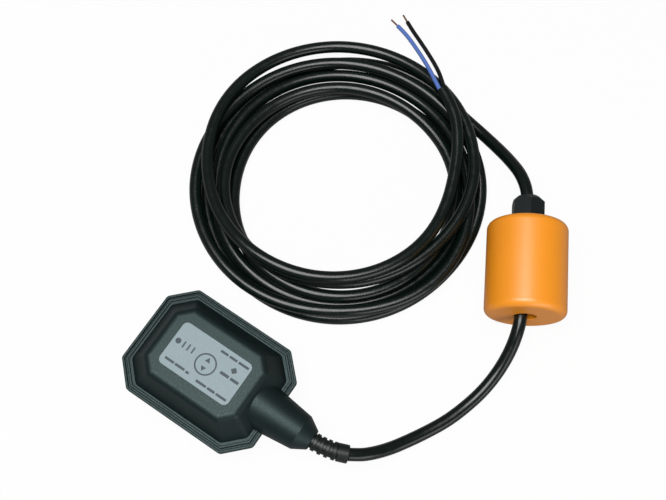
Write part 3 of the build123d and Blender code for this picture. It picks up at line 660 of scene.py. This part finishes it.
def add_ring(thickness):
    """Adds the round mark's band."""
    x, y, reach, band = (value * MM for value in PRINT_RING)
    bpy.ops.mesh.primitive_circle_add(vertices=RING_SIDES, radius=reach, fill_type="NGON", location=(x, y, 0))
    bpy.ops.mesh.inset(thickness=band)
    bpy.ops.mesh.delete(type="ONLY_FACE")
    bpy.ops.mesh.select_all(action="DESELECT")
    bpy.ops.mesh.select_non_manifold()
    raise_print(thickness)


def add_points(thickness):
    """Adds the pointed marks."""
    for x, y, reach, heading, corners in PRINT_POINTS:
        bpy.ops.mesh.primitive_circle_add(
            vertices=corners,
            radius=reach * MM,
            fill_type="NGON",
            location=(x * MM, y * MM, 0),
            rotation=(0, 0, math.radians(heading - FIRST_CORNER)),
        )
        raise_print(thickness)


class FLOATSWITCH_OT_label_print(bpy.types.Operator):
    """Make the plain printed bars and marks on the label plate"""

    bl_idname = "float_switch.label_print"
    bl_label = "Make Label Print"

    def execute(self, context):
        sizes = context.scene.float_switch_sizes
        thickness = sizes.print_thickness
        deselect()
        x, y, reach = (value * MM for value in PRINT_DISC)
        bpy.ops.mesh.primitive_circle_add(
            vertices=DISC_SIDES, radius=reach, fill_type="NGON", location=(x, y, 0)
        )
        ink = context.object
        ink.name = "label_print"
        ink.data.name = ink.name
        ink.data.transform(Matrix.Translation(ink.location))
        ink.location = (0, 0, 0)
        bpy.ops.object.mode_set(mode="EDIT")
        bpy.ops.mesh.select_all(action="SELECT")
        raise_print(thickness)
        add_bars(thickness, sizes.print_corner)
        add_ring(thickness)
        add_points(thickness)
        bpy.ops.mesh.select_all(action="SELECT")
        bpy.ops.mesh.normals_make_consistent(inside=False)
        bpy.ops.object.mode_set(mode="OBJECT")
        ink.data.transform(Matrix.Translation((0, 0, LABEL_TOP * MM)))
        finish(ink, "label_silver", PRINT_FINISH)
        return {"FINISHED"}


# The stage: places are in metres, the lens and the sensor in millimetres

CAMERA_PLACE = (0.1427, -0.0699, 0.6752)
CAMERA_TARGET = (0.0165, 0.1175, 0.0)
CAMERA_LENS = 56.0
SENSOR_WIDTH = 36
# Each lamp's name, place, two sides and power in watts.
LAMP_TARGET = (0.03, 0.12, 0.0)
LAMPS = (
    ("overhead_box", (-0.08, -0.12, 1.50), (1.0, 1.0), 23.0),
    ("right_box", (1.20, -0.50, 0.40), (1.0, 0.7), 5.0),
)
# The dim room's strength, and the colour of the backdrop and of the floor's glow.
ROOM_LIGHT = 0.14
WHITE = "FFFFFF"
# The floor is a disc with a wide border round its middle.
FLOOR_RADIUS = 4.0
FLOOR_BORDER = 3.0
FLOOR_SIDES = 96
# The floor's paper as the camera sees it, and the dimmer paper that shows in the object as painted shade that
# keeps the float's walls and the cable's sides dark; the share of glow that lifts it to white for the camera,
# and the size of its clouds in millimetres with their darkest tone.
PAPER_SEEN = "E2E2E2"
PAPER_DIMMED_FOR_SHADE = "9C9C9C"
FLOOR_GLOW = 0.95
CLOUD_SIZE = 300
CLOUD_TONE = 0.99


def seamless_paper():
    """Matt seamless paper: an even off-white with a cloudiness too faint to draw the eye.

    The walls of the float and the sides of the cable mirror a dimmer sheet and take their bounce light from
    it. This is painted shade that keeps them near black.
    """
    paper = bpy.data.materials.new("matt_seamless_paper")
    paper.use_nodes = True
    tree = paper.node_tree
    tree.nodes.clear()
    place = add_node(tree, "ShaderNodeTexCoord").outputs["Object"]
    cloud = add_node(
        tree, "ShaderNodeTexNoise", {"Vector": place, "Scale": per_metre(CLOUD_SIZE)}
    ).outputs["Fac"]
    plain = (*linear_rgb(PAPER_SEEN), 1)
    clouded = add_node(
        tree,
        "ShaderNodeMix",
        {MIX_FACTOR: cloud, MIX_FIRST: tinted(plain, CLOUD_TONE), MIX_SECOND: plain},
        data_type="RGBA",
    ).outputs[MIXED]
    seen = add_node(tree, "ShaderNodeLightPath").outputs["Is Camera Ray"]
    # Every ray but the camera's meets the dimmer paper: painted shade on the float's walls and the cable's
    # sides.
    tone = add_node(
        tree,
        "ShaderNodeMix",
        {MIX_FACTOR: seen, MIX_FIRST: (*linear_rgb(PAPER_DIMMED_FOR_SHADE), 1), MIX_SECOND: clouded},
        data_type="RGBA",
    ).outputs[MIXED]
    matt = add_node(tree, "ShaderNodeBsdfDiffuse", {"Color": tone}).outputs["BSDF"]
    glow = add_node(
        tree, "ShaderNodeEmission", {"Color": (*linear_rgb(WHITE), 1), "Strength": 1.0}
    ).outputs["Emission"]
    share = add_node(tree, "ShaderNodeMath", {0: seen, 1: FLOOR_GLOW}, operation="MULTIPLY").outputs[0]
    mixed = add_node(tree, "ShaderNodeMixShader", {0: share, 1: matt, 2: glow}).outputs[0]
    add_node(tree, "ShaderNodeOutputMaterial", {"Surface": mixed})
    return paper


def make_floor():
    """A wide pale floor that shows white to the eye and keeps the soft shadow."""
    deselect()
    bpy.ops.mesh.primitive_circle_add(
        vertices=FLOOR_SIDES, radius=FLOOR_RADIUS, fill_type="NGON", location=(0, 0, 0)
    )
    floor = bpy.context.object
    floor.name = "floor"
    bpy.ops.object.mode_set(mode="EDIT")
    bpy.ops.mesh.select_all(action="SELECT")
    bpy.ops.mesh.inset(thickness=FLOOR_BORDER)
    bpy.ops.object.mode_set(mode="OBJECT")
    floor.data.materials.append(seamless_paper())


def aim(piece, place, target):
    """Puts a lamp or the camera into the scene at a place, turned to its target."""
    piece.location = place
    piece.rotation_euler = (Vector(target) - Vector(place)).to_track_quat("-Z", "Y").to_euler()
    bpy.context.scene.collection.objects.link(piece)


def make_lamps():
    """A large soft box overhead, a low dim one to the picture's right, and a dim room that shows white."""
    for name, place, size, power in LAMPS:
        lamp = bpy.data.lights.new(name, "AREA")
        lamp.shape = "RECTANGLE"
        lamp.size, lamp.size_y = size
        lamp.energy = power
        aim(bpy.data.objects.new(name, lamp), place, LAMP_TARGET)
    world = bpy.data.worlds.new("room")
    bpy.context.scene.world = world
    world.use_nodes = True
    tree = world.node_tree
    tree.nodes.clear()
    seen = add_node(tree, "ShaderNodeLightPath").outputs["Is Camera Ray"]
    strength = add_node(
        tree, "ShaderNodeMapRange", {"Value": seen, "To Min": ROOM_LIGHT, "To Max": 1.0}
    ).outputs["Result"]
    backdrop = add_node(
        tree, "ShaderNodeBackground", {"Color": (*linear_rgb(WHITE), 1), "Strength": strength}
    ).outputs["Background"]
    add_node(tree, "ShaderNodeOutputWorld", {"Surface": backdrop})
    bpy.context.scene.view_settings.view_transform = "Standard"


def make_camera():
    lens = bpy.data.cameras.new("camera")
    lens.lens = CAMERA_LENS
    lens.sensor_width = SENSOR_WIDTH
    camera = bpy.data.objects.new("camera", lens)
    aim(camera, CAMERA_PLACE, CAMERA_TARGET)
    bpy.context.scene.camera = camera


class FLOATSWITCH_OT_stage(bpy.types.Operator):
    """Set up the pale floor, the soft lamps and the camera"""

    bl_idname = "float_switch.stage"
    bl_label = "Make Stage"

    def execute(self, context):
        make_floor()
        make_lamps()
        make_camera()
        return {"FINISHED"}


# The panel, the registration and the run


class FLOATSWITCH_PT_panel(bpy.types.Panel):
    """Lists the steps that dress the float switch"""

    bl_label = "Float Switch"
    bl_idname = "FLOATSWITCH_PT_panel"
    bl_space_type = "VIEW_3D"
    bl_region_type = "UI"
    bl_category = "Float Switch"

    def draw(self, context):
        for operator in OPERATORS:
            self.layout.operator(operator.bl_idname)
        for settings in (context.scene.float_switch_sizes, context.scene.float_switch_colours):
            box = self.layout.box()
            for name in settings.__annotations__:
                box.prop(settings, name)


OPERATORS = (
    FLOATSWITCH_OT_finishes,
    FLOATSWITCH_OT_cable,
    FLOATSWITCH_OT_strands,
    FLOATSWITCH_OT_cores,
    FLOATSWITCH_OT_label_print,
    FLOATSWITCH_OT_stage,
)
CLASSES = (FloatSwitchSizes, FloatSwitchColours, *OPERATORS, FLOATSWITCH_PT_panel)


def register():
    for cls in CLASSES:
        bpy.utils.register_class(cls)
    bpy.types.Scene.float_switch_sizes = PointerProperty(type=FloatSwitchSizes)
    bpy.types.Scene.float_switch_colours = PointerProperty(type=FloatSwitchColours)


def unregister():
    del bpy.types.Scene.float_switch_colours
    del bpy.types.Scene.float_switch_sizes
    for cls in reversed(CLASSES):
        bpy.utils.unregister_class(cls)


def main():
    register()
    bpy.ops.float_switch.finishes()
    bpy.ops.float_switch.cable()
    bpy.ops.float_switch.strands()
    bpy.ops.float_switch.cores()
    bpy.ops.float_switch.label_print()
    bpy.ops.float_switch.stage()


if __name__ == "__main__":
    main()
